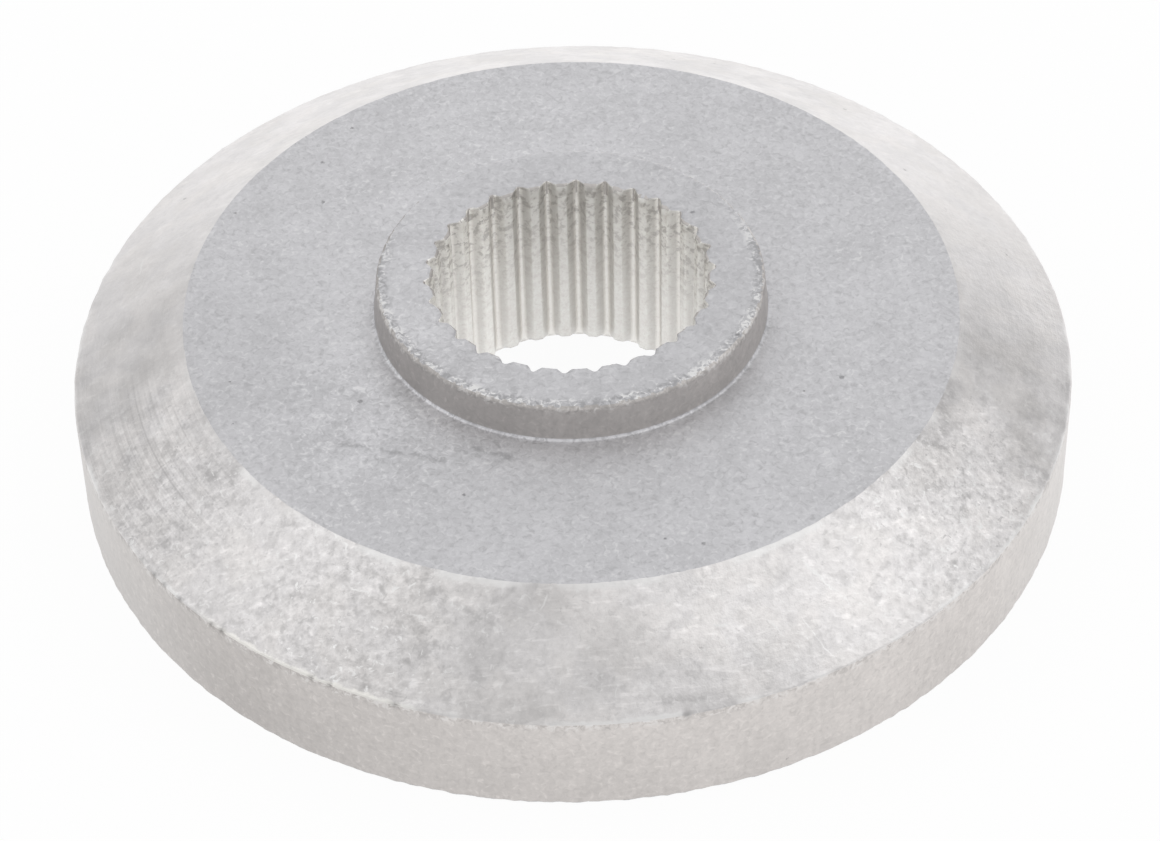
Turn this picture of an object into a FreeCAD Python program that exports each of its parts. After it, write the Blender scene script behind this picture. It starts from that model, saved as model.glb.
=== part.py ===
import FreeCAD, Part
import math
import os

# Mower blade adapter: a pressed and sintered steel disc, all in one piece.
# The origin is on the bore axis at the underside, and +Z points up through the boss.

# Driving dimensions of the disc, in millimetres and degrees
OUTER_DIAMETER = 55.0    # straight rim
RIM_HEIGHT = 6.05        # from the underside to the foot of the shoulder
SHOULDER_HEIGHT = 3.75   # rise of the conical shoulder from the rim to the seat
SEAT_DIAMETER = 42.4     # outer edge of the flat blade seat
BOSS_HEIGHT = 2.2        # rise of the boss above the seat
BOSS_DIAMETER = 21.1     # boss at its top
BOSS_DRAFT = 6.0         # lean of the boss wall, which widens towards the seat

# Driving dimensions of the splined bore
GROOVE_COUNT = 30
TIP_DIAMETER = 14.85     # across the tips of the teeth
ROOT_DIAMETER = 15.8     # across the bottoms of the grooves
FLANK_ANGLE = 43.0       # lean of a flank from its groove's centre line
ROOT_ROUND = 0.2         # round bottom of a groove
TIP_ROUND = 0.08         # rounded corners of a tooth
MOUTH_BREAK = 0.15       # broken edge of the teeth at the boss top
LEAD_DIAMETER = 17.0     # lead-in of the bore at the underside
LEAD_ANGLE = 30.0        # slope of the lead-in from the underside

# Rounds on the disc's edges
BASE_ROUND = 0.3         # underside to rim
FOOT_ROUND = 0.2         # rim to shoulder
SEAT_ROUND = 0.1         # shoulder to seat
BOSS_FILLET = 0.15       # inside corner between seat and boss
BOSS_ROUND = 0.25        # boss wall to boss top

SHARP = 0.0

# Heights and radii that follow from the driving dimensions
SEAT_Z = RIM_HEIGHT + SHOULDER_HEIGHT
TOP_Z = SEAT_Z + BOSS_HEIGHT
OUTER_RADIUS = OUTER_DIAMETER / 2
SEAT_RADIUS = SEAT_DIAMETER / 2
BOSS_TOP_RADIUS = BOSS_DIAMETER / 2
BOSS_BASE_RADIUS = BOSS_TOP_RADIUS + BOSS_HEIGHT * math.tan(math.radians(BOSS_DRAFT))
TIP_RADIUS = TIP_DIAMETER / 2
ROOT_RADIUS = ROOT_DIAMETER / 2
LEAD_RADIUS = LEAD_DIAMETER / 2


def unit_towards(start, end):
    """Unit vector from one point to another."""
    return (end - start).normalize()


def rounded_face(corners):
    """Flat face inside a ring of (point, round) corners, each with its tangent arc."""
    arcs = []
    entries = []
    exits = []
    for index, (point, radius) in enumerate(corners):
        before = unit_towards(point, corners[index - 1][0])
        after = unit_towards(point, corners[(index + 1) % len(corners)][0])
        half_angle = before.getAngle(after) / 2
        setback = radius / math.tan(half_angle)
        entries.append(point + before * setback)
        exits.append(point + after * setback)
        if radius > SHARP:
            bisector = (before + after).normalize()
            middle = point + bisector * (radius / math.sin(half_angle) - radius)
            arcs.append(Part.Arc(entries[-1], middle, exits[-1]).toShape())
        else:
            arcs.append(None)
    edges = []
    for index, arc in enumerate(arcs):
        edges.append(Part.LineSegment(exits[index - 1], entries[index]).toShape())
        if arc:
            edges.append(arc)
    return Part.Face(Part.Wire(edges))


def disc():
    """Solid of revolution with the rim, shoulder, seat and boss."""
    section = [
        (0.0, 0.0, SHARP),
        (OUTER_RADIUS, 0.0, BASE_ROUND),
        (OUTER_RADIUS, RIM_HEIGHT, FOOT_ROUND),
        (SEAT_RADIUS, SEAT_Z, SEAT_ROUND),
        (BOSS_BASE_RADIUS, SEAT_Z, BOSS_FILLET),
        (BOSS_TOP_RADIUS, TOP_Z, BOSS_ROUND),
        (0.0, TOP_Z, SHARP),
    ]
    corners = [(FreeCAD.Vector(radius, 0, height), edge) for radius, height, edge in section]
    return rounded_face(corners).revolve(FreeCAD.Vector(0, 0, 0), FreeCAD.Vector(0, 0, 1), 360)


def polar(radius, angle, height):
    """Point at a radius and an angle about the bore axis."""
    return FreeCAD.Vector(radius * math.cos(angle), radius * math.sin(angle), height)


def tip_half_angle(apex_radius):
    """Angle about the bore axis from a groove's centre line to the tooth beside it."""
    flank = math.radians(FLANK_ANGLE)
    return math.asin(apex_radius * math.sin(flank) / TIP_RADIUS) - flank


def spline_prism():
    """Space inside the teeth: round-bottomed grooves, evenly spaced, with one on the +X side."""
    pitch = 2 * math.pi / GROOVE_COUNT
    apex_radius = ROOT_RADIUS + ROOT_ROUND / math.sin(math.radians(FLANK_ANGLE)) - ROOT_ROUND
    to_tooth = tip_half_angle(apex_radius)
    corners = []
    for groove in range(GROOVE_COUNT):
        centre = groove * pitch
        corners.append((polar(TIP_RADIUS, centre - to_tooth, -MOUTH_BREAK), TIP_ROUND))
        corners.append((polar(apex_radius, centre, -MOUTH_BREAK), ROOT_ROUND))
        corners.append((polar(TIP_RADIUS, centre + to_tooth, -MOUTH_BREAK), TIP_ROUND))
    return rounded_face(corners).extrude(FreeCAD.Vector(0, 0, TOP_Z + 2 * MOUTH_BREAK))


def mouth_cone():
    """Cone at 45 degrees that breaks the edges of the teeth at the boss top."""
    depth = 2 * MOUTH_BREAK
    start = FreeCAD.Vector(0, 0, TOP_Z - MOUTH_BREAK)
    return Part.makeCone(TIP_RADIUS, TIP_RADIUS + depth, depth, start)


def lead_cone():
    """Flat cone that cuts the lead-in of the bore at the underside."""
    return Part.makeCone(LEAD_RADIUS, 0.0, LEAD_RADIUS * math.tan(math.radians(LEAD_ANGLE)))


blade_adapter = disc().cut(spline_prism())
blade_adapter = blade_adapter.cut(mouth_cone())
blade_adapter = blade_adapter.cut(lead_cone())

os.makedirs("parts", exist_ok=True)
blade_adapter.exportStep("parts/blade_adapter.step")
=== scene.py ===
import math

import bmesh
import bpy
from mathutils import Matrix, Vector, noise


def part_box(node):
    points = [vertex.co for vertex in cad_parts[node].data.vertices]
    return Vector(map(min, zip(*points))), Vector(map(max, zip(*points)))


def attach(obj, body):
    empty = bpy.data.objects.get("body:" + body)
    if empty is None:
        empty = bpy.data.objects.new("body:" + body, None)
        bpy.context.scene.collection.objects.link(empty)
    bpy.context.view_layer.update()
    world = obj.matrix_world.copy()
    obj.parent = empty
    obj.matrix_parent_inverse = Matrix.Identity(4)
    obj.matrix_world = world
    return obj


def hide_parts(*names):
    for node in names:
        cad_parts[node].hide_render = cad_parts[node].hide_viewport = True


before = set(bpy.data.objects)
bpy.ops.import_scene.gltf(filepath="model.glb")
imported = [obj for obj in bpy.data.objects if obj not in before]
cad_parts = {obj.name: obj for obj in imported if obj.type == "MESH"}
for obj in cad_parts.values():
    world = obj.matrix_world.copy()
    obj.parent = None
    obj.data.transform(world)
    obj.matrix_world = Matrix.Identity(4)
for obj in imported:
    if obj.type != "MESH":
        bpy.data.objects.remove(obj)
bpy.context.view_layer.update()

bl_info = {
    "name": "Mower Blade Adapter",
    "version": (1, 0, 0),
    "blender": (4, 5, 0),
    "location": "View3D > Sidebar > Blade Adapter",
    "description": "Models and finishes a sintered steel mower blade adapter on a plain stage",
    "category": "Object",
}

MM = 0.001              # a millimetre, in metres
NODE = "blade_adapter"
PICTURE_WIDTH = 1160    # pixels
LOW_CORNER, HIGH_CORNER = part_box(NODE)


def length_property(label, about, default):
    """Size of the part, in metres."""
    return bpy.props.FloatProperty(
        name=label, description=about, default=default, precision=5, subtype="DISTANCE", unit="LENGTH"
    )


def angle_property(label, about, degrees):
    """Angle, shown in degrees."""
    return bpy.props.FloatProperty(
        name=label, description=about, default=math.radians(degrees), subtype="ANGLE", unit="ROTATION"
    )


def colour_property(label, about, default):
    """Linear colour of a finish or the floor."""
    return bpy.props.FloatVectorProperty(
        name=label, description=about, default=default, size=3, min=0.0, max=1.0, subtype="COLOR"
    )


def plain_property(label, about, default):
    """Plain number."""
    return bpy.props.FloatProperty(name=label, description=about, default=default)


class BladeAdapterForm(bpy.types.PropertyGroup):
    """Sizes of the disc and its bore"""

    outer_diameter: length_property("Outer diameter", "Across the rim", HIGH_CORNER[0] - LOW_CORNER[0])
    height: length_property("Height", "From the underside to the boss top", HIGH_CORNER[2] - LOW_CORNER[2])
    rim_height: length_property("Rim height", "From the underside to the shoulder's foot", 6.05 * MM)
    seat_height: length_property("Seat height", "From the underside to the blade seat", 9.8 * MM)
    seat_diameter: length_property("Seat diameter", "Across the flat blade seat", 42.4 * MM)
    boss_diameter: length_property("Boss diameter", "Across the boss at its top", 21.1 * MM)
    boss_draft: angle_property("Boss draft", "Lean of the boss wall", 6.0)
    tip_diameter: length_property("Tip diameter", "Across the tips of the teeth", 14.85 * MM)
    root_diameter: length_property("Root diameter", "Across the bottoms of the grooves", 15.8 * MM)
    flank_angle: angle_property("Flank angle", "Lean of a groove's flank from its centre line", 43.0)
    root_round: length_property("Root round", "Round bottom of a groove", 0.2 * MM)
    grooves: bpy.props.IntProperty(name="Grooves", description="Grooves round the bore", default=30, min=3)
    base_round: length_property("Base round", "Edge between underside and rim", 0.3 * MM)
    foot_round: length_property("Foot round", "Edge between rim and shoulder", 0.2 * MM)
    seat_round: length_property("Seat round", "Edge between shoulder and seat", 0.1 * MM)
    boss_fillet: length_property("Boss fillet", "Inside corner between seat and boss", 0.15 * MM)
    boss_round: length_property("Boss round", "Edge between boss wall and boss top", 0.25 * MM)
    mouth_break: length_property("Mouth break", "Broken edge of the teeth at the boss top", 0.15 * MM)
    lead_diameter: length_property("Lead diameter", "Lead-in of the bore at the underside", 17.0 * MM)
    lead_angle: angle_property("Lead angle", "Slope of the lead-in from the underside", 30.0)


class BladeAdapterFinish(bpy.types.PropertyGroup):
    """Colours of the steel's faces"""

    seat: colour_property("Seat", "Pressed grey steel of the seat and boss top", (0.632, 0.629, 0.646))
    shoulder: colour_property("Shoulder", "Turned steel of the shoulder", (0.703, 0.689, 0.686))
    rim: colour_property("Rim", "Die-pressed steel of the rim", (0.64, 0.612, 0.595))
    boss: colour_property("Boss wall", "Darker steel of the boss wall", (0.527, 0.504, 0.49))
    # The bore's colour is raised close to white as painted light, making up for the light the deep bore
    # gathers.
    bore: colour_property("Bore", "Steel of the toothed bore", (0.963, 0.93, 0.897))


class BladeAdapterStage(bpy.types.PropertyGroup):
    """Camera, lamps and floor"""

    camera_distance: length_property("Camera distance", "From the disc's middle to the lens", 214.0 * MM)
    camera_elevation: angle_property("Camera elevation", "Height of the camera above the floor", 42.74)
    camera_azimuth: angle_property("Camera azimuth", "Turn of the camera about the bore axis", -2.7)
    camera_roll: angle_property("Camera roll", "Turn of the camera about its own axis", 1.43)
    focal_pixels: plain_property("Focal length", "Focal length in pixels of the picture", 3864.0)
    aim_across: plain_property("Aim across", "Disc's middle right of the picture's, in pixels", -7.7)
    aim_up: plain_property("Aim up", "Disc's middle above the picture's, in pixels", 65.6)
    floor: colour_property("Floor", "Plain pale floor", (0.95, 0.95, 0.95))
    daylight: plain_property("Daylight", "Strength of the soft light all round", 0.785)
    softbox: plain_property("Softbox", "Power of the left soft lamp, in watts", 0.153)


# Shader nodes

VECTOR = "NodeSocketVector"
NUMBER = "NodeSocketFloat"
MIDDLE = 0.5    # middle of a noise's range


def fill(tree, made, inputs):
    """Fill a node's inputs with plain values or with other nodes' outputs."""
    for key, value in inputs.items():
        if isinstance(value, bpy.types.NodeSocket):
            tree.links.new(value, made.inputs[key])
        else:
            made.inputs[key].default_value = value
    return made


def node(tree, kind, inputs, **settings):
    """Add a node, set it up and fill its inputs."""
    made = tree.nodes.new(kind)
    for name, value in settings.items():
        setattr(made, name, value)
    return fill(tree, made, inputs)


def maths(tree, operation, first, second=0.0, third=0.0):
    """Output of a Math node."""
    inputs = {0: first, 1: second, 2: third}
    return node(tree, "ShaderNodeMath", inputs, operation=operation).outputs[0]


def times(tree, first, second):
    """Product of two numbers."""
    return maths(tree, "MULTIPLY", first, second)


def linear(tree, value, factor, base):
    """Value times a factor, on top of a base."""
    return maths(tree, "MULTIPLY_ADD", value, factor, base)


def higher(tree, first, second):
    """Higher of two numbers."""
    return maths(tree, "MAXIMUM", first, second)


def centred(tree, value):
    """Noise moved to swing about zero."""
    return maths(tree, "SUBTRACT", value, MIDDLE)


def vector_maths(tree, operation, first, second):
    """Vector output of a Vector Math node."""
    return node(tree, "ShaderNodeVectorMath", {0: first, 1: second}, operation=operation).outputs[0]


def vector_times(tree, first, second):
    """Product of two vectors or colours, part by part."""
    return vector_maths(tree, "MULTIPLY", first, second)


def scaled(tree, place, factor):
    """Place times a plain or linked number."""
    return node(tree, "ShaderNodeVectorMath", {0: place, "Scale": factor}, operation="SCALE").outputs[0]


def apart(tree, place):
    """The three numbers of a place."""
    return node(tree, "ShaderNodeSeparateXYZ", {0: place}).outputs


def flat_place(tree, place):
    """Place with its height taken out."""
    parts = apart(tree, place)
    return node(tree, "ShaderNodeCombineXYZ", {0: parts[0], 1: parts[1]}).outputs[0]


def away_from(tree, place, middle):
    """Distance of a place from a fixed point."""
    return node(tree, "ShaderNodeVectorMath", {0: place, 1: middle}, operation="DISTANCE").outputs["Value"]


def length_of(tree, place):
    """Distance of a place from the origin."""
    return node(tree, "ShaderNodeVectorMath", {0: place}, operation="LENGTH").outputs["Value"]


def rise(tree, value, low, high):
    """Smooth step of a value, from 0 at low to 1 at high."""
    inputs = {"Value": value, "From Min": low, "From Max": high}
    return node(tree, "ShaderNodeMapRange", inputs, interpolation_type="SMOOTHSTEP").outputs[0]


def fall(tree, value, low, high):
    """Smooth step of a value, from 1 at low to 0 at high."""
    return rise(tree, value, low=high, high=low)


def mixed(tree, factor, first, second):
    """Colour between two colours."""
    return node(tree, "ShaderNodeMix", {0: factor, 6: first, 7: second}, data_type="RGBA").outputs[2]


def rough_noise(tree, place, scale, detail=2.0, roughness=0.5, distortion=0.0):
    """Smooth noise between 0 and 1."""
    inputs = {
        "Vector": place,
        "Scale": scale,
        "Detail": detail,
        "Roughness": roughness,
        "Distortion": distortion,
    }
    return node(tree, "ShaderNodeTexNoise", inputs).outputs[0]


def new_group(name, inputs, outputs):
    """Empty shader node group with named sockets: its tree, what it is given and what it puts out."""
    tree = bpy.data.node_groups.new(name, "ShaderNodeTree")
    tree.interface.new_socket("Place", in_out="INPUT", socket_type=VECTOR)
    for label, default in inputs.items():
        socket = tree.interface.new_socket(label, in_out="INPUT", socket_type=NUMBER)
        socket.default_value = default
    for label in outputs:
        tree.interface.new_socket(label, in_out="OUTPUT", socket_type=NUMBER)
    return tree, tree.nodes.new("NodeGroupInput").outputs, tree.nodes.new("NodeGroupOutput").inputs


def placed(tree, group, place, **inputs):
    """Outputs of a node group placed in a material."""
    made = tree.nodes.new("ShaderNodeGroup")
    made.node_tree = group
    return fill(tree, made, {"Place": place, **inputs}).outputs


# Effects that the finishes are made of, with lengths in millimetres


def grain_group():
    """Mottled grain of pressed and sintered steel, with light flecks and dark specks."""
    tree, given, made = new_group("sintered_grain", {"Grain": 0.3}, ["Tone", "Fleck", "Speck"])
    place = scaled(tree, given["Place"], maths(tree, "DIVIDE", 1.0, given["Grain"]))
    fine = rough_noise(tree, place, scale=1.0, detail=3.0, roughness=0.6, distortion=0.8)
    cloud = rough_noise(tree, place, scale=0.12, detail=3.0, roughness=0.6)
    tone = linear(tree, fine, factor=0.7, base=times(tree, cloud, 0.3))
    tree.links.new(tone, made["Tone"])
    tree.links.new(rise(tree, fine, low=0.58, high=0.7), made["Fleck"])
    tree.links.new(fall(tree, fine, low=0.3, high=0.42), made["Speck"])
    return tree


def pores_group():
    """Small open pores, scattered one to a cell."""
    tree, given, made = new_group("open_pores", {"Spacing": 1.6, "Share": 0.3, "Size": 0.12}, ["Mask"])
    place = scaled(tree, given["Place"], maths(tree, "DIVIDE", 1.0, given["Spacing"]))
    cells = node(tree, "ShaderNodeTexVoronoi", {"Vector": place, "Scale": 1.0}).outputs
    chance = node(tree, "ShaderNodeSeparateColor", {0: cells["Color"]}).outputs
    wobble = centred(tree, rough_noise(tree, given["Place"], scale=9.0, detail=1.0))
    reach = times(tree, cells["Distance"], given["Spacing"])
    reach = linear(tree, wobble, factor=0.16, base=reach)
    size = times(tree, given["Size"], maths(tree, "ADD", chance[1], 0.5))
    inside = fall(tree, reach, low=times(tree, size, 0.5), high=size)
    chosen = maths(tree, "LESS_THAN", chance[0], given["Share"])
    tree.links.new(times(tree, chosen, inside), made["Mask"])
    return tree


def wear_group():
    """Ragged band along one round edge."""
    inputs = {"Radius": 20.0, "Height": 0.0, "Reach": 0.2, "Ragged": 1.0, "Chips": 0.5}
    tree, given, made = new_group("edge_wear", inputs, ["Band"])
    radius = length_of(tree, flat_place(tree, given["Place"]))
    across = maths(tree, "SUBTRACT", radius, given["Radius"])
    above = maths(tree, "SUBTRACT", apart(tree, given["Place"])[2], given["Height"])
    away = length_of(tree, node(tree, "ShaderNodeCombineXYZ", {0: across, 1: above}).outputs[0])
    ragged = centred(tree, given["Chips"])
    ragged = times(tree, times(tree, ragged, given["Ragged"]), given["Reach"])
    away = maths(tree, "ADD", away, ragged)
    band = fall(tree, away, low=times(tree, given["Reach"], 0.4), high=given["Reach"])
    tree.links.new(band, made["Band"])
    return tree


def scratch_group():
    """Short scratches seen from above, one to a cell, each with its own direction."""
    inputs = {"Spacing": 2.5, "Share": 0.3, "Width": 0.05}
    tree, given, made = new_group("short_scratches", inputs, ["Mask"])
    place = scaled(tree, flat_place(tree, given["Place"]), maths(tree, "DIVIDE", 1.0, given["Spacing"]))
    cells = node(
        tree, "ShaderNodeTexVoronoi", {"Vector": place, "Scale": 1.0}, voronoi_dimensions="2D"
    ).outputs
    chance = node(tree, "ShaderNodeSeparateColor", {0: cells["Color"]}).outputs
    local = vector_maths(tree, "SUBTRACT", place, cells["Position"])
    turn = {"Vector": local, "Angle": times(tree, chance[1], math.pi)}
    turned = node(tree, "ShaderNodeVectorRotate", turn, rotation_type="Z_AXIS").outputs[0]
    along = apart(tree, scaled(tree, turned, given["Spacing"]))
    bend = centred(tree, rough_noise(tree, given["Place"], scale=1.2, detail=2.0))
    off = maths(tree, "ABSOLUTE", linear(tree, bend, factor=0.25, base=along[1]))
    line = fall(tree, off, low=times(tree, given["Width"], 0.3), high=given["Width"])
    reach = times(tree, given["Spacing"], linear(tree, chance[2], factor=0.3, base=0.08))
    span = fall(tree, maths(tree, "ABSOLUTE", along[0]), low=times(tree, reach, 0.6), high=reach)
    chosen = maths(tree, "LESS_THAN", chance[0], given["Share"])
    tree.links.new(times(tree, chosen, times(tree, line, span)), made["Mask"])
    return tree


def turning_group():
    """Fine lines left by a lathe, running round the axis."""
    tree, given, made = new_group("turning_lines", {"Pitch": 0.16}, ["Tone"])
    flat = flat_place(tree, given["Place"])
    rings = maths(tree, "DIVIDE", length_of(tree, flat), given["Pitch"])
    slow = apart(tree, scaled(tree, flat, 0.12))
    place = node(tree, "ShaderNodeCombineXYZ", {0: slow[0], 1: slow[1], 2: rings}).outputs[0]
    tree.links.new(rough_noise(tree, place, scale=1.0, detail=1.5, roughness=0.6), made["Tone"])
    return tree


def ragged_group():
    """How the straight marks of one finish wander, crumble and break off, and its edges chip and wear."""
    tree, given, made = new_group("ragged_marks", {}, ["Wander", "Crumble", "Whole", "Chips", "Worn"])
    place = given["Place"]
    chips = rough_noise(tree, place, scale=2.2, detail=3.0, roughness=0.65)
    worn = rough_noise(tree, place, scale=0.35, roughness=0.6)
    wander = rough_noise(tree, place, scale=0.9, detail=3.0, roughness=0.6)
    crumble = rough_noise(tree, place, scale=4.0, roughness=0.6)
    whole = rough_noise(tree, place, scale=2.0, roughness=0.6)
    tree.links.new(chips, made["Chips"])
    tree.links.new(rise(tree, worn, low=0.42, high=0.6), made["Worn"])
    tree.links.new(times(tree, centred(tree, wander), 0.6), made["Wander"])
    tree.links.new(crumble, made["Crumble"])
    tree.links.new(rise(tree, whole, low=0.38, high=0.55), made["Whole"])
    return tree


def stroke_group():
    """One straight mark seen from above, given by its middle, its turn, its length and its width."""
    inputs = {"X": 0.0, "Y": 0.0, "Turn": 0.0, "Length": 2.0, "Width": 0.1}
    tree, given, made = new_group("ragged_stroke", {**inputs, "Wander": 0.0, "Crumble": 0.5}, ["Mask"])
    middle = node(tree, "ShaderNodeCombineXYZ", {0: given["X"], 1: given["Y"]}).outputs[0]
    local = vector_maths(tree, "SUBTRACT", flat_place(tree, given["Place"]), middle)
    back = {"Vector": local, "Angle": times(tree, given["Turn"], -1.0)}
    along = apart(tree, node(tree, "ShaderNodeVectorRotate", back, rotation_type="Z_AXIS").outputs[0])
    off = maths(tree, "ABSOLUTE", maths(tree, "ADD", given["Wander"], along[1]))
    off = linear(tree, given["Crumble"], factor=given["Width"], base=off)
    core = times(tree, given["Width"], 0.5)
    line = fall(tree, off, low=core, high=times(tree, given["Width"], 1.1))
    half = times(tree, given["Length"], 0.5)
    span = fall(tree, maths(tree, "ABSOLUTE", along[0]), low=times(tree, half, 0.7), high=half)
    tree.links.new(times(tree, line, span), made["Mask"])
    return tree


def shared_effects():
    """Node group of every effect, built once for all the finishes."""
    return {
        "grain": grain_group(),
        "pores": pores_group(),
        "wear": wear_group(),
        "scratches": scratch_group(),
        "turning": turning_group(),
        "ragged": ragged_group(),
        "stroke": stroke_group(),
    }


# Finishes


def bare_metal(name):
    """Metal material: itself, its tree, its shader and the place on the part in millimetres."""
    material = bpy.data.materials.new(name)
    material.use_nodes = True
    tree = material.node_tree
    shader = tree.nodes["Principled BSDF"]
    shader.inputs["Metallic"].default_value = 1.0
    place = node(tree, "ShaderNodeTexCoord", {}).outputs["Object"]
    return material, tree, shader.inputs, scaled(tree, place, 1.0 / MM)


def finish_metal(tree, shader, tone, roughness, relief, depth):
    """Lead a finish's colour, roughness and fine relief, whose depth is in millimetres, to the shader."""
    bump = node(tree, "ShaderNodeBump", {"Distance": depth * MM, "Height": relief})
    tree.links.new(tone, shader["Base Color"])
    tree.links.new(roughness, shader["Roughness"])
    tree.links.new(bump.outputs[0], shader["Normal"])


def shade(colour, factor):
    """Colour times a factor, with full alpha."""
    return (*(min(1.0, part * factor) for part in colour), 1.0)


def toned(tree, value, colour, dark, light):
    """Colour that runs between a darker and a lighter shade as a value runs from 0.3 to 0.7."""
    return mixed(tree, rise(tree, value, low=0.3, high=0.7), shade(colour, dark), shade(colour, light))


def marked(tree, tone, mask, share, colour):
    """Tone with a share of another colour wherever a mask shows."""
    return mixed(tree, times(tree, mask, share), tone, colour)


def lit(tree, tone, mask, change):
    """Tone made lighter or darker by a share wherever a mask shows."""
    return scaled(tree, tone, linear(tree, mask, factor=change, base=1.0))


def round_edges(form):
    """Radius and height of each round edge of the disc, in millimetres."""
    outer = form.outer_diameter / 2
    edges = {
        "boss": (form.boss_diameter / 2, form.height),
        "boss_foot": (boss_foot_radius(form), form.seat_height),
        "seat": (form.seat_diameter / 2, form.seat_height),
        "foot": (outer, form.rim_height),
        "base": (outer, 0.0),
    }
    return {
        name: {"Radius": radius / MM, "Height": height / MM}
        for name, (radius, height) in edges.items()
    }


def edge_band(tree, effects, place, ragged, edge, reach, uneven):
    """Mask of the wear along one of the disc's round edges."""
    inputs = {"Reach": reach, "Ragged": uneven, "Chips": ragged["Chips"], **edge}
    return placed(tree, effects["wear"], place, **inputs)["Band"]


def nick_shade_mask(tree):
    """Painted shade in the nicks, kept on the mesh's points."""
    return node(tree, "ShaderNodeAttribute", {}, attribute_name="nick_shade").outputs["Fac"]


def near(tree, place, middle, core, reach):
    """Soft round mask, whole within a core about its middle and gone at its reach."""
    return fall(tree, away_from(tree, place, middle), low=core, high=reach)


# Steel rubbed bright, also used for a painted sheen on the rim's far sides.
BRIGHT_STEEL_AND_SHEEN = (0.822, 0.818, 0.814, 1.0)


def speckled(tree, tone, grain, band, share, colour):
    """Tone with bright and dark specks of the grain crowded into a band."""
    bright = times(tree, band, rise(tree, grain["Tone"], low=0.505, high=0.57))
    dark = times(tree, band, fall(tree, grain["Tone"], low=0.41, high=0.49))
    tone = marked(tree, tone, bright, share=share, colour=BRIGHT_STEEL_AND_SHEEN)
    return marked(tree, tone, dark, share=0.65 * share, colour=shade(colour, 0.55))


# Marks seen from above, in millimetres: middle across and deep, turn in degrees, length and width.
SEAT_SCUFFS = (
    (-12.2, -10.1, -14.0, 2.4, 0.5),
    (-8.8, -11.2, -19.0, 5.6, 0.5),
    (-4.9, -11.3, -28.0, 2.8, 0.5),
)
SHOULDER_SCRATCHES = (
    (-12.0, -19.8, -31.0, 1.6, 0.13),
    (-9.3, -21.5, -25.0, 2.2, 0.12),
    (5.5, -21.6, -4.0, 1.2, 0.14),
    (6.4, -23.1, 0.0, 1.6, 0.16),
    (9.4, -23.4, -34.0, 2.6, 0.09),
    (11.0, -23.3, -47.0, 2.6, 0.09),
    (11.7, -20.6, -36.0, 3.2, 0.3),
)
SHOULDER_STAINS = (
    (-8.4, -20.4, -20.0, 1.6, 0.45),
    (-6.4, -21.9, -40.0, 1.4, 0.45),
    (4.3, -26.5, 0.0, 4.0, 0.6),
)


def stroked(tree, effects, tone, place, ragged, strokes, share, colour):
    """Tone with some straight marks drawn across it."""
    drawn = 0.0
    for across, deep, turn, length, width in strokes:
        inputs = {"X": across, "Y": deep, "Turn": math.radians(turn), "Length": length, "Width": width}
        inputs.update(Wander=ragged["Wander"], Crumble=ragged["Crumble"])
        drawn = higher(tree, drawn, placed(tree, effects["stroke"], place, **inputs)["Mask"])
    return marked(tree, tone, times(tree, drawn, ragged["Whole"]), share=share, colour=colour)


def patched(tree, tone, place, patches):
    """Tone made lighter or darker in some soft round patches."""
    factor = 1.0
    for middle, reach, change in patches:
        inside = near(tree, place, middle, core=1.0, reach=reach)
        factor = linear(tree, inside, factor=change, base=factor)
    return scaled(tree, tone, factor)


# Middle of the part of the seat that is rubbed to bright flecks, in millimetres.
RUBBED_PATCH = (-9.8, -8.0, 9.8)

# Soft patches made lighter or darker: middle and reach in millimetres, and the change in brightness.
# On the seat, painted light and shade: darker at the left edge, lighter towards the back.
SEAT_PATCHES = (
    ((-19.5, -3.5, 9.8), 8.0, -0.06),
    ((-3.0, 15.0, 9.8), 14.0, 0.03),
)
# On the shoulder, partly dull and clean steel and partly painted light and shade.
SHOULDER_PATCHES = (
    ((-24.2, 0.5, 8.0), 4.0, -0.07),
    ((-20.8, -6.4, 9.5), 4.5, 0.07),
    ((-20.8, -11.4, 8.2), 5.0, -0.06),
    ((-12.5, -20.8, 8.0), 6.5, -0.06),
    ((-6.0, -23.3, 8.2), 7.0, -0.09),
    ((4.8, -22.3, 9.1), 6.0, 0.13),
    ((13.0, -22.5, 6.8), 5.0, 0.08),
    ((20.8, -13.4, 7.8), 5.0, 0.07),
    ((22.5, -6.2, 8.6), 4.5, -0.05),
    ((17.0, -17.5, 8.0), 8.0, 0.04),
    ((17.5, -13.3, 9.5), 3.5, -0.06),
    ((23.0, -9.5, 7.4), 5.0, 0.05),
    ((26.9, 1.3, 6.4), 3.5, 0.1),
    ((-22.6, -9.4, 8.0), 4.0, 0.06),
)

# Gritty parts of the shoulder: middle and reach in millimetres.
GRITTY_PATCHES = (
    ((-22.5, -10.0, 7.8), 10.0),
    ((-13.0, -20.5, 8.0), 9.0),
    ((19.5, -15.5, 7.8), 11.0),
)


def boss_tone_and_painted_light(tree, tone, place, edges):
    """Tone with painted light on the seat at the left of the boss and on the boss top's sides, and the
    boss top darker.
    """
    across, _, height = apart(tree, place)
    radius = length_of(tree, flat_place(tree, place))
    foot = edges["boss_foot"]["Radius"]
    round_boss = fall(tree, radius, low=foot, high=foot + 4.0)
    left_of_boss = times(tree, round_boss, fall(tree, across, low=2.0, high=9.0))
    on_boss = rise(tree, height, low=edges["seat"]["Height"], high=edges["boss"]["Height"])
    sides = rise(tree, maths(tree, "ABSOLUTE", across), low=4.0, high=10.0)
    # Painted light on the seat at the left of the boss.
    tone = lit(tree, tone, left_of_boss, change=0.06)
    tone = lit(tree, tone, on_boss, change=-0.1)
    # Painted light on the boss top's sides.
    return lit(tree, tone, times(tree, on_boss, sides), change=0.06)


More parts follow.
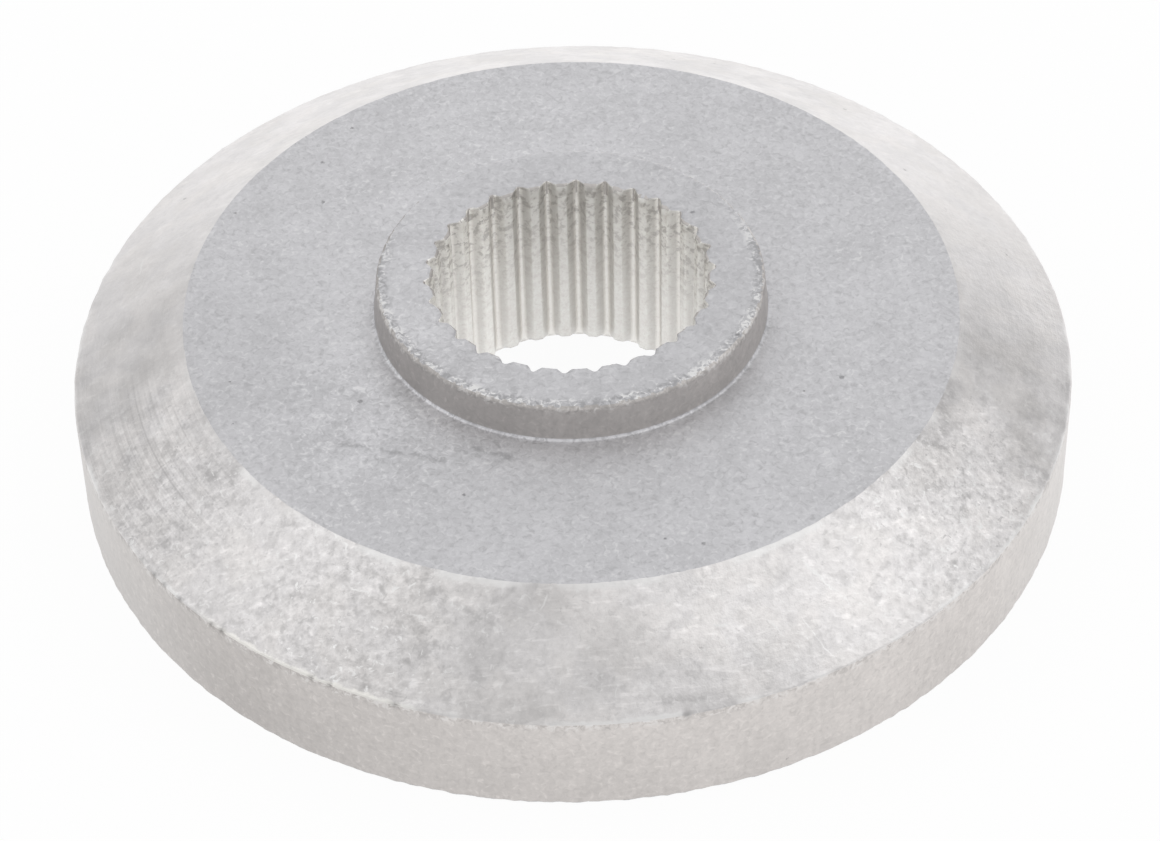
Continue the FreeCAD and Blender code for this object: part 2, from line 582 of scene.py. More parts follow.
def pressed_face(effects, colour, form):
    """Matt pressed face with fine grain, light flecks, dark scuffs, open pores, and painted light and
    shade.
    """
    material, tree, shader, place = bare_metal("pressed_face")
    edges = round_edges(form)
    _, deep, height = apart(tree, place)
    grain = placed(tree, effects["grain"], place, Grain=0.33)
    pores = placed(tree, effects["pores"], place, Spacing=1.7, Share=0.3, Size=0.13)["Mask"]
    scuffs = placed(tree, effects["scratches"], place, Spacing=3.4, Share=0.15, Width=0.1)["Mask"]
    ragged = placed(tree, effects["ragged"], place)
    boss_edge = edge_band(tree, effects, place, ragged, edges["boss"], reach=0.75, uneven=1.2)
    boss_foot = edge_band(tree, effects, place, ragged, edges["boss_foot"], reach=0.3, uneven=0.5)
    patches = rise(tree, rough_noise(tree, place, scale=0.12), low=0.45, high=0.65)
    rubbed = near(tree, place, RUBBED_PATCH, core=2.0, reach=9.0)
    uneven = times(tree, rubbed, centred(tree, grain["Tone"]))
    fleck_share = linear(tree, higher(tree, rubbed, patches), factor=0.3, base=0.15)
    speckle = times(tree, boss_edge, fall(tree, deep, low=0.0, high=7.0))
    above_base = rise(tree, height, low=0.0, high=edges["seat"]["Height"])
    scuff_share = times(tree, above_base, 0.7)
    scuff_colour = shade(colour, 0.6)
    broken = times(tree, boss_foot, fall(tree, grain["Tone"], low=0.42, high=0.54))
    tone = toned(tree, grain["Tone"], colour, dark=0.87, light=1.11)
    tone = lit(tree, tone, uneven, change=0.4)
    tone = marked(tree, tone, grain["Fleck"], share=fleck_share, colour=BRIGHT_STEEL_AND_SHEEN)
    tone = marked(tree, tone, grain["Speck"], share=0.3, colour=shade(colour, 0.7))
    # Painted light and shade in soft patches.
    tone = patched(tree, tone, place, SEAT_PATCHES)
    tone = boss_tone_and_painted_light(tree, tone, place, edges)
    tone = lit(tree, tone, speckle, change=-0.08)
    tone = marked(tree, tone, scuffs, share=0.3, colour=shade(colour, 0.7))
    tone = stroked(tree, effects, tone, place, ragged, SEAT_SCUFFS, share=scuff_share, colour=scuff_colour)
    tone = marked(tree, tone, broken, share=0.5, colour=shade(colour, 0.7))
    tone = speckled(tree, tone, grain, speckle, share=0.9, colour=colour)
    tone = marked(tree, tone, pores, share=0.65, colour=shade(colour, 0.4))
    roughness = linear(tree, grain["Tone"], factor=0.25, base=0.42)
    relief = linear(tree, pores, factor=-0.8, base=grain["Tone"])
    finish_metal(tree, shader, tone, roughness, relief, depth=0.03)
    return material


# Middle of the shoulder's patch of lathe lines, and radius of the deepest line, in millimetres.
LINED_PATCH = (-24.0, -9.5, 7.3)
DEEP_LINE = 24.2

# Stretch of the foot edge that is rolled over to a pale lip, from left to right, how it fades at its ends,
# and the distance of the painted shadow line above it, in from the edge and up, all in millimetres.
LIP_START = -21.5
LIP_END = -8.5
LIP_FADE = 3.0
LIP_WIDTH = 0.5
LIP_RISE = 0.3
LIP_COLOUR = (0.822, 0.805, 0.771, 1.0)

# Faint warm and cool tints of rubbed steel.
WARM_TINT = (1.004, 0.997, 0.992, 1.0)
COOL_TINT = (1.0, 0.997, 1.0, 1.0)

# Waves to the millimetre along each axis, in the shoulder's streaks and in the press marks on the walls.
STREAK_WAVES = (0.8, 3.0, 3.0)
PRESS_WAVES = (2.5, 2.5, 0.3)


def gritty_mask(tree, place):
    """Soft patches where the shoulder is grittier than elsewhere."""
    gritty = 0.0
    for middle, reach in GRITTY_PATCHES:
        gritty = higher(tree, gritty, near(tree, place, middle, core=2.0, reach=reach))
    return gritty


def smudged(tree, tone, place, handled, grit):
    """Tone smudged, streaked and faintly tinted by handling."""
    smudges = rough_noise(tree, place, scale=0.8, detail=3.0, roughness=0.65)
    smudges = fall(tree, smudges, low=0.34, high=0.46)
    streaks = rough_noise(tree, vector_times(tree, place, STREAK_WAVES), scale=1.0, roughness=0.65)
    streaks = rise(tree, streaks, low=0.55, high=0.7)
    warmth = rough_noise(tree, place, scale=0.4, detail=1.0, roughness=0.6)
    warmth = rise(tree, warmth, low=0.42, high=0.6)
    tone = lit(tree, tone, times(tree, grit, smudges), change=-0.18)
    tone = lit(tree, tone, times(tree, handled, streaks), change=0.12)
    return vector_times(tree, tone, mixed(tree, warmth, COOL_TINT, WARM_TINT))


def lathe_lined(tree, tone, place, lines, colour):
    """Tone with a patch of lathe lines, one of them deep and dark."""
    radius = length_of(tree, flat_place(tree, place))
    patch = near(tree, place, LINED_PATCH, core=3.0, reach=10.0)
    off_line = maths(tree, "ABSOLUTE", maths(tree, "SUBTRACT", radius, DEEP_LINE))
    deep_line = times(tree, patch, fall(tree, off_line, low=0.02, high=0.07))
    tone = lit(tree, tone, times(tree, patch, centred(tree, lines)), change=0.45)
    return marked(tree, tone, deep_line, share=0.32, colour=shade(colour, 0.5))


def foot_worn(tree, effects, tone, place, ragged, foot, front, colour):
    """Tone with the foot edge worn bright in places, and one stretch rolled over to a pale lip with a
    painted shadow above.
    """
    across = apart(tree, place)[0]
    worn = ragged["Worn"]
    lip_top = {"Radius": foot["Radius"] - LIP_WIDTH, "Height": foot["Height"] + LIP_RISE}
    foot_edge = edge_band(tree, effects, place, ragged, foot, reach=0.3, uneven=1.6)
    lip_line = edge_band(tree, effects, place, ragged, lip_top, reach=0.16, uneven=1.0)
    after_start = rise(tree, across, low=LIP_START, high=LIP_START + LIP_FADE)
    before_end = fall(tree, across, low=LIP_END - LIP_FADE, high=LIP_END)
    lip = times(tree, times(tree, after_start, before_end), front)
    lip_shadow = times(tree, worn, times(tree, lip, lip_line))
    tone = marked(tree, tone, times(tree, worn, foot_edge), share=0.7, colour=BRIGHT_STEEL_AND_SHEEN)
    # Painted shadow along the top of the lip.
    tone = marked(tree, tone, lip_shadow, share=0.45, colour=shade(colour, 0.5))
    return marked(tree, tone, times(tree, lip, foot_edge), share=0.9, colour=LIP_COLOUR)


def turned_shoulder(effects, colour, form):
    """Turned cone mottled by handling, with a patch of lathe lines, flecks, a few bright scratches and
    painted light.
    """
    material, tree, shader, place = bare_metal("turned_shoulder")
    edges = round_edges(form)
    foot = edges["foot"]
    _, deep, height = apart(tree, place)
    grain = placed(tree, effects["grain"], place, Grain=0.42)
    pores = placed(tree, effects["pores"], place, Spacing=2.4, Share=0.3, Size=0.15)["Mask"]
    lines = placed(tree, effects["turning"], place, Pitch=0.12)["Tone"]
    scratches = placed(tree, effects["scratches"], place, Spacing=3.0, Share=0.12, Width=0.06)["Mask"]
    ragged = placed(tree, effects["ragged"], place)
    seat_edge = edge_band(tree, effects, place, ragged, edges["seat"], reach=0.5, uneven=1.0)
    seat_edge = times(tree, ragged["Worn"], seat_edge)
    patches = rough_noise(tree, place, scale=0.35, roughness=0.6)
    crumbs = rough_noise(tree, place, scale=2.3, detail=3.0, roughness=0.68)
    front = fall(tree, deep, low=-16.0, high=2.0)
    back = rise(tree, deep, low=0.0, high=16.0)
    darker_low_front = times(tree, front, fall(tree, height, low=foot["Height"], high=8.5))
    handled = linear(tree, front, factor=0.6, base=0.4)
    grit = times(tree, handled, linear(tree, gritty_mask(tree, place), factor=0.55, base=0.55))
    fleck_share = times(tree, grit, 0.8)
    speck_share = times(tree, grit, 0.65)
    seat_share = times(tree, front, 0.7)
    stain_colour = shade(colour, 0.6)
    tone = toned(tree, patches, colour, dark=0.93, light=1.07)
    tone = lit(tree, tone, times(tree, grit, centred(tree, crumbs)), change=0.8)
    tone = smudged(tree, tone, place, handled, grit)
    # Darker low on the front, towards the foot.
    tone = lit(tree, tone, darker_low_front, change=-0.06)
    # Painted light on the back of the shoulder, where it catches the light at a glancing angle.
    tone = lit(tree, tone, back, change=0.09)
    # Soft patches, partly dull and clean steel and partly painted light and shade.
    tone = patched(tree, tone, place, SHOULDER_PATCHES)
    tone = lathe_lined(tree, tone, place, lines, colour)
    tone = marked(tree, tone, grain["Fleck"], share=fleck_share, colour=BRIGHT_STEEL_AND_SHEEN)
    tone = marked(tree, tone, grain["Speck"], share=speck_share, colour=shade(colour, 0.7))
    tone = marked(tree, tone, scratches, share=0.5, colour=BRIGHT_STEEL_AND_SHEEN)
    tone = stroked(tree, effects, tone, place, ragged, SHOULDER_STAINS, share=0.5, colour=stain_colour)
    tone = stroked(tree, effects, tone, place, ragged, SHOULDER_SCRATCHES, share=0.9, colour=BRIGHT_STEEL_AND_SHEEN)
    tone = marked(tree, tone, seat_edge, share=seat_share, colour=BRIGHT_STEEL_AND_SHEEN)
    tone = foot_worn(tree, effects, tone, place, ragged, foot, front, colour)
    tone = marked(tree, tone, pores, share=0.5, colour=shade(colour, 0.5))
    # Painted shade in the nicks.
    tone = marked(tree, tone, nick_shade_mask(tree), share=0.75, colour=shade(colour, 0.3))
    roughness = linear(tree, patches, factor=0.3, base=0.3)
    relief = linear(tree, lines, factor=0.3, base=crumbs)
    relief = linear(tree, pores, factor=-0.8, base=relief)
    finish_metal(tree, shader, tone, roughness, relief, depth=0.03)
    return material


def pressed_wall(name, effects, colour, edge, foot):
    """Warm wall formed by a die, with faint marks along the press stroke, one speckled edge, and painted
    light and shade.
    """
    material, tree, shader, place = bare_metal(name)
    across, _, height = apart(tree, place)
    grain = placed(tree, effects["grain"], place, Grain=0.34)
    pores = placed(tree, effects["pores"], place, Spacing=2.2, Share=0.35, Size=0.14)["Mask"]
    ragged = placed(tree, effects["ragged"], place)
    rough_edge = edge_band(tree, effects, place, ragged, edge, reach=0.5, uneven=1.5)
    press_place = vector_times(tree, place, PRESS_WAVES)
    press_marks = rough_noise(tree, press_place, scale=1.0, detail=3.0, roughness=0.6)
    both = linear(tree, press_marks, factor=0.2, base=times(tree, grain["Tone"], 0.8))
    lower = fall(tree, height, low=foot["Height"], high=edge["Height"])
    to_right = rise(tree, across, low=-20.0, high=26.0)
    to_left = fall(tree, across, low=-0.8 * edge["Radius"], high=-0.1 * edge["Radius"])
    rim_side_sheen = rise(tree, maths(tree, "ABSOLUTE", across), low=19.0, high=27.5)
    tone = toned(tree, both, colour, dark=0.89, light=1.1)
    # Painted shade, darker towards the wall's foot.
    tone = lit(tree, tone, lower, change=-0.07)
    # Painted light towards the right, and painted shade on the left.
    tone = lit(tree, tone, to_right, change=0.15)
    tone = lit(tree, tone, to_left, change=-0.06)
    # Painted sheen where the rim turns away at its far sides.
    tone = marked(tree, tone, rim_side_sheen, share=0.3, colour=BRIGHT_STEEL_AND_SHEEN)
    tone = marked(tree, tone, grain["Fleck"], share=0.25, colour=shade(colour, 1.3))
    tone = marked(tree, tone, grain["Speck"], share=0.2, colour=shade(colour, 0.8))
    tone = speckled(tree, tone, grain, rough_edge, share=0.4, colour=colour)
    tone = marked(tree, tone, pores, share=0.5, colour=shade(colour, 0.5))
    # Painted shade in the nicks.
    tone = marked(tree, tone, nick_shade_mask(tree), share=0.75, colour=shade(colour, 0.3))
    roughness = linear(tree, both, factor=0.25, base=0.42)
    finish_metal(tree, shader, tone, roughness, both, depth=0.025)
    return material


# How far out from the tips the painted shade on the flanks is whole, and how far in from the roots the
# painted reflection in the bottoms of the grooves starts and is whole, in millimetres.
FLANK_WHOLE = 0.22
BOTTOM_START = 0.16
BOTTOM_WHOLE = 0.04


def toothed_bore(effects, colour, form):
    """Pale warm teeth speckled towards the boss top, with painted shade on the flanks and painted
    reflections in the groove bottoms.
    """
    material, tree, shader, place = bare_metal("toothed_bore")
    tip = form.tip_diameter / 2 / MM
    root = form.root_diameter / 2 / MM
    top = form.height / MM
    across, _, height = apart(tree, place)
    radius = length_of(tree, flat_place(tree, place))
    grain = placed(tree, effects["grain"], place, Grain=0.25)
    above_tip = rise(tree, radius, low=tip, high=tip + FLANK_WHOLE)
    bottom_sheen = rise(tree, radius, low=root - BOTTOM_START, high=root - BOTTOM_WHOLE)
    flank_shade = maths(tree, "SUBTRACT", above_tip, bottom_sheen)
    blotch = rough_noise(tree, place, scale=2.4, detail=3.0, roughness=0.65, distortion=0.3)
    both = linear(tree, blotch, factor=0.5, base=times(tree, grain["Tone"], 0.5))
    facing = rise(tree, across, low=-4.8, high=-2.2)
    facing = times(tree, facing, fall(tree, across, low=1.5, high=6.0))
    to_right = rise(tree, across, low=1.0, high=6.0)
    upper = rise(tree, height, low=0.3 * top, high=top)
    specks = times(tree, fall(tree, blotch, low=0.36, high=0.52), upper)
    tone = toned(tree, both, colour, dark=0.88, light=1.08)
    # Painted shade across the middle of the bore, deepest towards the top, and on its right.
    tone = lit(tree, tone, facing, change=-0.12)
    tone = lit(tree, tone, times(tree, facing, upper), change=-0.1)
    tone = lit(tree, tone, to_right, change=-0.06)
    # Painted shade on the flanks and painted reflection in the groove bottoms.
    tone = marked(tree, tone, flank_shade, share=0.3, colour=shade(colour, 0.55))
    tone = marked(tree, tone, bottom_sheen, share=0.5, colour=shade(colour, 1.05))
    tone = marked(tree, tone, specks, share=0.7, colour=shade(colour, 0.45))
    tone = marked(tree, tone, grain["Speck"], share=0.3, colour=shade(colour, 0.7))
    roughness = linear(tree, blotch, factor=0.3, base=0.35)
    relief = linear(tree, blotch, factor=times(tree, upper, 0.5), base=grain["Tone"])
    finish_metal(tree, shader, tone, roughness, relief, depth=0.03)
    return material


# Shape of the disc

STEPS_PER_GROOVE = 32           # faces round the axis for each groove
CLOSE_ROW = 0.12 * MM           # row of faces beside each edge
ROW = 0.85 * MM                 # rows of faces elsewhere
UNDERSIDE_ROW = 2.4 * MM        # rows of faces on the plain underside
SHORTEST_SPAN = 6 * CLOSE_ROW   # shortest stretch that is divided into rows
SHARP = 0.0                     # corner with no round
ROUND_PIECES = 4                # faces across a rounded edge
SMALL_ROUND_PIECES = 3          # faces across the smallest rounded edge
TINY = 0.001 * MM               # distance that counts as touching
MOUTH_REACH = 0.4 * MM          # depth of the bore's chipped mouth
MOUTH_WAVES = 2.2               # chips to the millimetre, roughly
MOUTH_WEAR = 0.02 * MM          # wear all round the mouth
MOUTH_CHIP = 0.18 * MM          # deepest chip in the mouth


def boss_foot_radius(form):
    """Radius of the boss wall where it would meet the seat without its fillet."""
    return form.boss_diameter / 2 + (form.height - form.seat_height) * math.tan(form.boss_draft)


def round_corner(bm, point, edge_round, pieces):
    """Replace one corner of an outline with a tangent arc."""
    arms = [edge.other_vert(point).co - point.co for edge in point.link_edges]
    setback = edge_round / math.tan(arms[0].angle(arms[1]) / 2)
    bmesh.ops.bevel(
        bm, geom=[point], offset=setback, offset_type="OFFSET", segments=pieces, profile=0.5,
        affect="VERTICES", material=-1,
    )


def divide_span(bm, edge):
    """Divide one straight stretch of the outline into rows, with a close row beside each end."""
    span = edge.calc_length()
    first, last = edge.verts
    on_underside = max(first.co.z, last.co.z) < TINY
    bmesh.utils.edge_split(edge, first, CLOSE_ROW / span)
    bmesh.utils.edge_split(edge, last, CLOSE_ROW / (span - CLOSE_ROW))
    rows = round(span / (UNDERSIDE_ROW if on_underside else ROW))
    bmesh.ops.subdivide_edges(bm, edges=[edge], cuts=rows)


def lead_height(form, radius):
    """Height of the lead-in's slope at a radius."""
    return (form.lead_diameter / 2 - radius) * math.tan(form.lead_angle)


def draw_section(bm, form):
    """Closed outline of one side of the disc, with rounded corners and rows of points."""
    bore = form.root_diameter / 2
    outer = form.outer_diameter / 2
    # Each corner: radius, height, edge round and pieces of that round.
    corners = [
        (bore, lead_height(form, form.tip_diameter / 2), SHARP, 0),
        (bore, lead_height(form, bore), SHARP, 0),
        (form.lead_diameter / 2, 0.0, SHARP, 0),
        (outer, 0.0, form.base_round, ROUND_PIECES),
        (outer, form.rim_height, form.foot_round, ROUND_PIECES),
        (form.seat_diameter / 2, form.seat_height, form.seat_round, SMALL_ROUND_PIECES),
        (boss_foot_radius(form), form.seat_height, form.boss_fillet, ROUND_PIECES),
        (form.boss_diameter / 2, form.height, form.boss_round, ROUND_PIECES),
        (bore, form.height, SHARP, 0),
    ]
    points = [bm.verts.new((radius, 0.0, height)) for radius, height, _, _ in corners]
    for index, point in enumerate(points):
        bm.edges.new((points[index - 1], point))
    for point, (_, _, edge_round, pieces) in zip(points, corners):
        if pieces:
            round_corner(bm, point, edge_round, pieces)
    for edge in list(bm.edges):
        if edge.calc_length() > SHORTEST_SPAN:
            divide_span(bm, edge)


def groove_radius(form, angle):
    """Distance of the toothed bore's wall from the axis, at an angle."""
    pitch = 2.0 * math.pi / form.grooves
    off_centre = abs((angle + pitch / 2) % pitch - pitch / 2)
    arc_centre = form.root_diameter / 2 - form.root_round
    apex = arc_centre + form.root_round / math.sin(form.flank_angle)
    wall = apex * math.sin(form.flank_angle) / math.sin(form.flank_angle + off_centre)
    beside = arc_centre * math.sin(off_centre)
    if wall * math.sin(off_centre) < form.root_round * math.cos(form.flank_angle):
        wall = arc_centre * math.cos(off_centre) + math.sqrt(form.root_round ** 2 - beside ** 2)
    return max(form.tip_diameter / 2, wall)


def cut_teeth(bm, form):
    """Draw the bore's plain wall in to the teeth, with the lead-in below and ragged broken edges above."""
    tip = form.tip_diameter / 2
    for point in bm.verts:
        if Vector(point.co.xy).length > form.root_diameter / 2 + TINY:
            continue
        angle = math.atan2(point.co.y, point.co.x)
        depth = form.height - point.co.z
        broken = tip + form.mouth_break - depth
        lead = form.lead_diameter / 2 - point.co.z / math.tan(form.lead_angle)
        radius = max(groove_radius(form, angle), broken, lead)
        ragged = max(0.0, 1.0 - depth / MOUTH_REACH)
        chip = noise.noise(point.co / MM * MOUTH_WAVES)
        radius += ragged * (MOUTH_WEAR + MOUTH_CHIP * max(0.0, chip))
        point.co.x = radius * math.cos(angle)
        point.co.y = radius * math.sin(angle)


FINE_WAVES = 2.3    # finer waves to each wave of an edge's wander
FINE_SHARE = 0.5    # size of the finer waves beside the main ones


def roughen_edges(bm, form):
    """Let the edges of the disc wander a little, as on pressed metal that has been handled."""
    outer = form.outer_diameter / 2
    # Each edge: radius, height, reach of its wander, size of the wander and waves to the millimetre.
    edges = [
        (form.boss_diameter / 2, form.height, 0.35 * MM, 0.06 * MM, 2.2),
        (form.seat_diameter / 2, form.seat_height, 0.3 * MM, 0.035 * MM, 1.2),
        (outer, form.rim_height, 0.35 * MM, 0.045 * MM, 1.0),
        (outer, 0.0, 0.45 * MM, 0.08 * MM, 1.5),
    ]
    bm.normal_update()
    moves = {}
    for point in bm.verts:
        radius = Vector(point.co.xy).length
        for edge_radius, height, reach, size, waves in edges:
            away = math.hypot(radius - edge_radius, point.co.z - height)
            if away < reach:
                place = point.co / MM * waves
                wander = noise.noise(place) + FINE_SHARE * noise.noise(FINE_WAVES * place)
                moves[point] = point.normal * wander * size * (1.0 - away / reach)
    for point, move in moves.items():
        point.co += move
        point.co.z = max(0.0, point.co.z)


# Nicks in the shoulder's foot: angle round the axis in degrees and size in millimetres.
NICKS = (
    (213.4, 0.3),
    (215.4, 0.24),
    (218.3, 0.28),
    (223.6, 0.2),
    (225.1, 0.28),
    (237.3, 0.24),
    (239.6, 0.2),
    (247.2, 0.3),
    (278.5, 0.3),
)
NICK_DEPTH = 0.35    # depth of a nick beside its size


def nick_foot(bm, form):
    """Knock small nicks into the edge between rim and shoulder, and mark them for painted shade."""
    nick_shade = bm.verts.layers.float.new("nick_shade")
    foot = Vector((form.outer_diameter / 2, 0.0, form.rim_height))
    places = [(Matrix.Rotation(math.radians(angle), 3, "Z") @ foot, size * MM) for angle, size in NICKS]
    edge_points = [
        point
        for point in bm.verts
        if math.hypot(Vector(point.co.xy).length - foot.x, point.co.z - foot.z) < MM
    ]
    for point in edge_points:
        for place, size in places:
            share = 1.0 - (point.co - place).length / size
            if share > 0.0:
                point[nick_shade] = share
                point.co -= point.normal * share * NICK_DEPTH * size


FACE, SHOULDER, RIM, BOSS, BORE = range(5)

# Most that the faces of the bore, boss wall and rim lean from upright, as the height of a face's normal.
BORE_LEAN = 0.6
BOSS_LEAN = 0.85
RIM_LEAN = 0.45


def finish_of(form, face):
    """Which finish a face of the disc wears."""
    middle = face.calc_center_median()
    radius = Vector(middle.xy).length
    lean = face.normal.z
    inside_seat = radius < form.seat_diameter / 2
    outside_seat = radius > form.seat_diameter / 2
    if radius < form.root_diameter / 2 and abs(lean) < BORE_LEAN:
        return BORE
    if inside_seat and middle.z > form.seat_height + form.boss_fillet and lean < BOSS_LEAN:
        return BOSS
    if outside_seat and abs(lean) < RIM_LEAN:
        return RIM
    if outside_seat and lean > 0.0:
        return SHOULDER
    return FACE


def adapter_mesh(form):
    """Mesh of the whole disc, with a finish on every face."""
    bm = bmesh.new()
    draw_section(bm, form)
    pitch = 2.0 * math.pi / form.grooves
    axis = {"cent": (0.0, 0.0, 0.0), "axis": (0.0, 0.0, 1.0)}
    outline = bm.verts[:] + bm.edges[:]
    bmesh.ops.spin(bm, geom=outline, angle=pitch, steps=STEPS_PER_GROOVE, **axis)
    wedge = bm.verts[:] + bm.edges[:] + bm.faces[:]
    others = form.grooves - 1
    bmesh.ops.spin(bm, geom=wedge, angle=others * pitch, steps=others, use_duplicate=True, **axis)
    bmesh.ops.remove_doubles(bm, verts=bm.verts, dist=TINY)
    cut_teeth(bm, form)
    bmesh.ops.recalc_face_normals(bm, faces=bm.faces)
    roughen_edges(bm, form)
    nick_foot(bm, form)
    bm.normal_update()
    for face in bm.faces:
        face.material_index = finish_of(form, face)
        face.smooth = True
    mesh = bpy.data.meshes.new("adapter_body")
    bm.to_mesh(mesh)
    bm.free()
    return mesh


class OBJECT_OT_blade_adapter_body(bpy.types.Operator):
    """Model the sintered disc with its boss and splined bore"""

    bl_idname = "object.blade_adapter_body"
    bl_label = "Blade adapter body"

    def execute(self, context):
        form = context.scene.blade_adapter_form
        finish = context.scene.blade_adapter_finish
        effects = shared_effects()
        edges = round_edges(form)
        mesh = adapter_mesh(form)
        finishes = [
            pressed_face(effects, finish.seat, form),
            turned_shoulder(effects, finish.shoulder, form),
            pressed_wall("pressed_rim", effects, finish.rim, edges["foot"], edges["base"]),
            pressed_wall("pressed_boss", effects, finish.boss, edges["boss"], edges["boss_foot"]),
            toothed_bore(effects, finish.bore, form),
        ]
        for material in finishes:
            mesh.materials.append(material)
        body = bpy.data.objects.new("adapter_body", mesh)
        context.scene.collection.objects.link(body)
        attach(body, "root")
        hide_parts(NODE)
        return {"FINISHED"}


# Stage

FLOOR_SIZE = 4.0         # side of the floor, in metres
FLOOR_GAP = 0.02 * MM    # floor below the underside, so that the two aren't in one plane
SEEN_WHITE = 0.94        # share of plain white that the lens and the metal see in the floor
WHITE = (1.0, 1.0, 1.0, 1.0)


def floor_material(colour):
    """Pale floor that shows white with a soft shadow, in the metal too, and is clear from below."""
    material = bpy.data.materials.new("pale_floor")
    material.use_nodes = True
    tree = material.node_tree
    tree.nodes.clear()
    diffuse = node(tree, "ShaderNodeBsdfDiffuse", {"Color": shade(colour, 1.0)}).outputs[0]
    glow = node(tree, "ShaderNodeEmission", {"Color": WHITE, "Strength": 1.0}).outputs[0]
    path = node(tree, "ShaderNodeLightPath", {}).outputs
    seen = higher(tree, path["Is Camera Ray"], path["Is Glossy Ray"])
    seen = higher(tree, seen, path["Is Transmission Ray"])
    share = times(tree, seen, SEEN_WHITE)
    upper_side = node(tree, "ShaderNodeMixShader", {0: share, 1: diffuse, 2: glow}).outputs[0]
    clear = node(tree, "ShaderNodeBsdfTransparent", {}).outputs[0]
    below = node(tree, "ShaderNodeNewGeometry", {}).outputs["Backfacing"]
    surface = node(tree, "ShaderNodeMixShader", {0: below, 1: upper_side, 2: clear}).outputs[0]
    node(tree, "ShaderNodeOutputMaterial", {"Surface": surface})
    return material


def add_floor(context, colour):
    """Plain floor under the part."""
    bm = bmesh.new()
    bmesh.ops.create_grid(bm, x_segments=1, y_segments=1, size=FLOOR_SIZE / 2)
    bmesh.ops.translate(bm, verts=bm.verts, vec=(0.0, 0.0, -FLOOR_GAP))
    mesh = bpy.data.meshes.new("floor")
    bm.to_mesh(mesh)
    bm.free()
    mesh.materials.append(floor_material(colour))
    floor = bpy.data.objects.new("floor", mesh)
    context.scene.collection.objects.link(floor)


# Soft panels of the room: the way towards each, its spread in degrees, and the light it adds or takes.
PANELS = (
    ((-0.63, 0.75, 0.18), 30.0, -0.55),
    ((0.75, 0.55, 0.38), 24.0, -0.65),
    ((-0.74, 0.33, 0.58), 30.0, 0.12),
    ((0.0, 0.80, 0.60), 38.0, 0.25),
)


def light_room(context, stage):
    """Even pale room, brightest low behind the part, with a few lighter and darker panels."""
    world = bpy.data.worlds.new("pale_room")
    world.use_nodes = True
    tree = world.node_tree
    background = tree.nodes["Background"]
    direction = node(tree, "ShaderNodeTexCoord", {}).outputs["Generated"]
    across, deep, height = apart(tree, direction)
    low_down = fall(tree, height, low=0.0, high=0.35)
    behind = linear(tree, rise(tree, deep, low=-0.2, high=0.6), factor=0.95, base=0.4)
    strength = linear(tree, low_down, factor=behind, base=1.0)
    for towards, spread, light in PANELS:
        ends = {0: direction, 1: Vector(towards).normalized()}
        facing = node(tree, "ShaderNodeVectorMath", ends, operation="DOT_PRODUCT").outputs["Value"]
        panel = rise(tree, facing, low=math.cos(math.radians(spread)), high=1.0)
        strength = linear(tree, panel, factor=light, base=strength)
    strength = linear(tree, across, factor=0.04, base=strength)
    tree.links.new(times(tree, strength, stage.daylight), background.inputs["Strength"])
    background.inputs["Color"].default_value = WHITE
    context.scene.world = world


# Soft lamps, one each side: name, place in metres and power beside the left one's.
SOFTBOXES = (
    ("left_softbox", (-0.28, -0.02, 0.38), 1.0),
    ("right_softbox", (0.28, -0.02, 0.38), 1.25),
)
SOFTBOX_SIZE = 0.28    # metres


def add_softbox(context, name, place, power):
    """Square soft lamp, aimed at the part."""
    lamp = bpy.data.lights.new(name, "AREA")
    lamp.shape = "SQUARE"
    lamp.size = SOFTBOX_SIZE
    lamp.energy = power
    softbox = bpy.data.objects.new(name, lamp)
    softbox.location = place
    softbox.rotation_euler = (-Vector(place)).to_track_quat("-Z", "Y").to_euler()
    context.scene.collection.objects.link(softbox)


SENSOR_WIDTH = 36.0     # millimetres, as the lens is given
NEAREST_SEEN = 0.01     # metres from the lens
FARTHEST_SEEN = 20.0    # metres from the lens


def add_camera(context, stage, form):
    """Camera at the viewing angle of the picture."""
    focal = stage.focal_pixels
    data = bpy.data.cameras.new("camera")
    data.sensor_width = SENSOR_WIDTH
    data.lens = focal * SENSOR_WIDTH / PICTURE_WIDTH
    data.clip_start = NEAREST_SEEN
    data.clip_end = FARTHEST_SEEN
    elevation = Matrix.Rotation(math.pi / 2 - stage.camera_elevation, 3, "X")
    facing = Matrix.Rotation(stage.camera_azimuth, 3, "Z") @ elevation
    yaw = Matrix.Rotation(-math.atan2(stage.aim_across, focal), 3, "Y")
    pitch = Matrix.Rotation(math.atan2(stage.aim_up, focal), 3, "X")
    roll = Matrix.Rotation(stage.camera_roll, 3, "Z")
    turn = facing @ (pitch @ yaw @ roll).transposed()
    middle = Vector((0.0, 0.0, form.height / 2))
    place = middle + facing @ Vector((0.0, 0.0, stage.camera_distance))
    camera = bpy.data.objects.new("camera", data)
    camera.matrix_world = Matrix.Translation(place) @ turn.to_4x4()
    context.scene.collection.objects.link(camera)
    context.scene.camera = camera


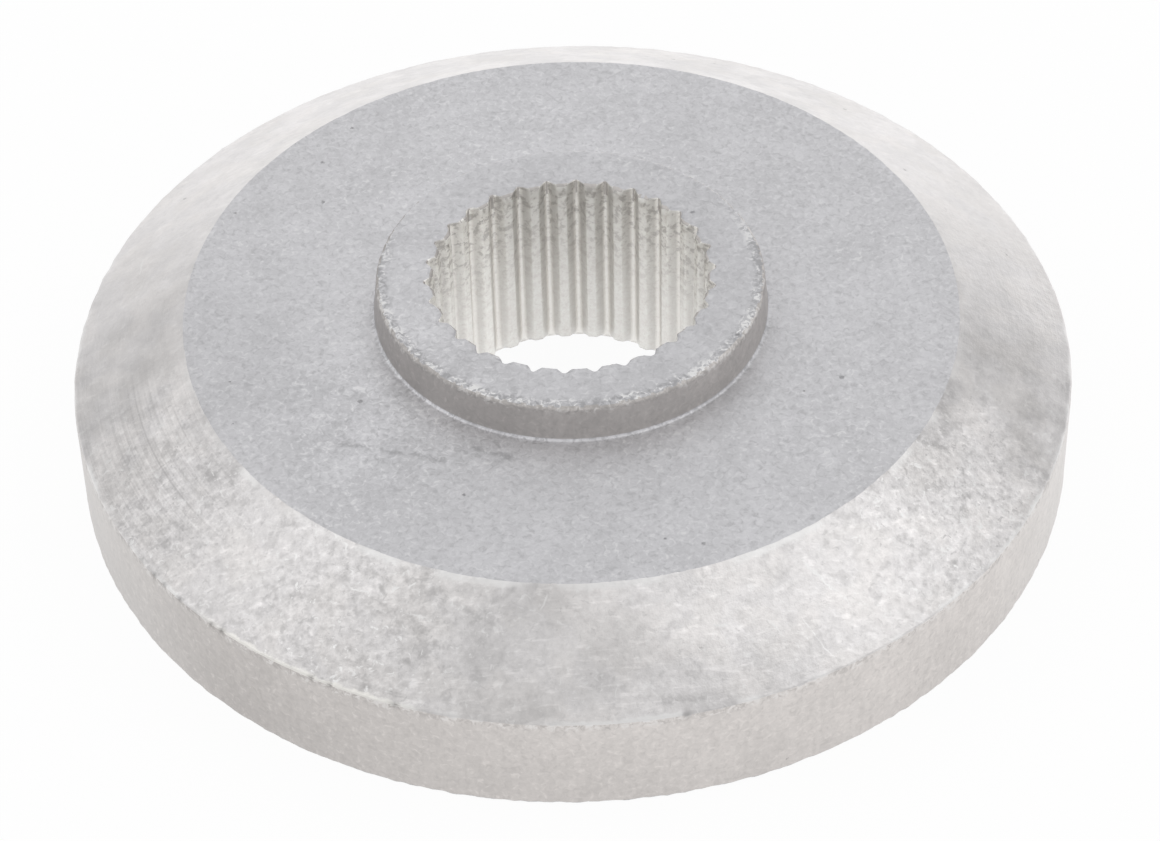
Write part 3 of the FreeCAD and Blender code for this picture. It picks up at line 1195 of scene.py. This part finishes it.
class SCENE_OT_blade_adapter_stage(bpy.types.Operator):
    """Set up the floor, the soft light and the camera"""

    bl_idname = "scene.blade_adapter_stage"
    bl_label = "Blade adapter stage"

    def execute(self, context):
        stage = context.scene.blade_adapter_stage
        add_floor(context, stage.floor)
        light_room(context, stage)
        for name, place, share in SOFTBOXES:
            add_softbox(context, name, place, share * stage.softbox)
        add_camera(context, stage, context.scene.blade_adapter_form)
        context.scene.view_settings.view_transform = "Standard"
        return {"FINISHED"}


class VIEW3D_PT_blade_adapter(bpy.types.Panel):
    """Sizes, finishes and stage of the blade adapter"""

    bl_label = "Blade Adapter"
    bl_idname = "VIEW3D_PT_blade_adapter"
    bl_space_type = "VIEW_3D"
    bl_region_type = "UI"
    bl_category = "Blade Adapter"

    def draw(self, context):
        scene = context.scene
        for group in (scene.blade_adapter_form, scene.blade_adapter_finish, scene.blade_adapter_stage):
            for name in group.bl_rna.properties.keys():
                if name not in {"rna_type", "name"}:
                    self.layout.prop(group, name)
        self.layout.operator(OBJECT_OT_blade_adapter_body.bl_idname)
        self.layout.operator(SCENE_OT_blade_adapter_stage.bl_idname)


CLASSES = (
    BladeAdapterForm,
    BladeAdapterFinish,
    BladeAdapterStage,
    OBJECT_OT_blade_adapter_body,
    SCENE_OT_blade_adapter_stage,
    VIEW3D_PT_blade_adapter,
)


def register():
    """Add the classes and the scene's settings."""
    for each in CLASSES:
        bpy.utils.register_class(each)
    bpy.types.Scene.blade_adapter_form = bpy.props.PointerProperty(type=BladeAdapterForm)
    bpy.types.Scene.blade_adapter_finish = bpy.props.PointerProperty(type=BladeAdapterFinish)
    bpy.types.Scene.blade_adapter_stage = bpy.props.PointerProperty(type=BladeAdapterStage)


def unregister():
    """Take the scene's settings and the classes away again."""
    del bpy.types.Scene.blade_adapter_stage
    del bpy.types.Scene.blade_adapter_finish
    del bpy.types.Scene.blade_adapter_form
    for each in reversed(CLASSES):
        bpy.utils.unregister_class(each)


def main():
    """Build the part and its stage."""
    register()
    bpy.ops.object.blade_adapter_body()
    bpy.ops.scene.blade_adapter_stage()


if __name__ == "__main__":
    main()
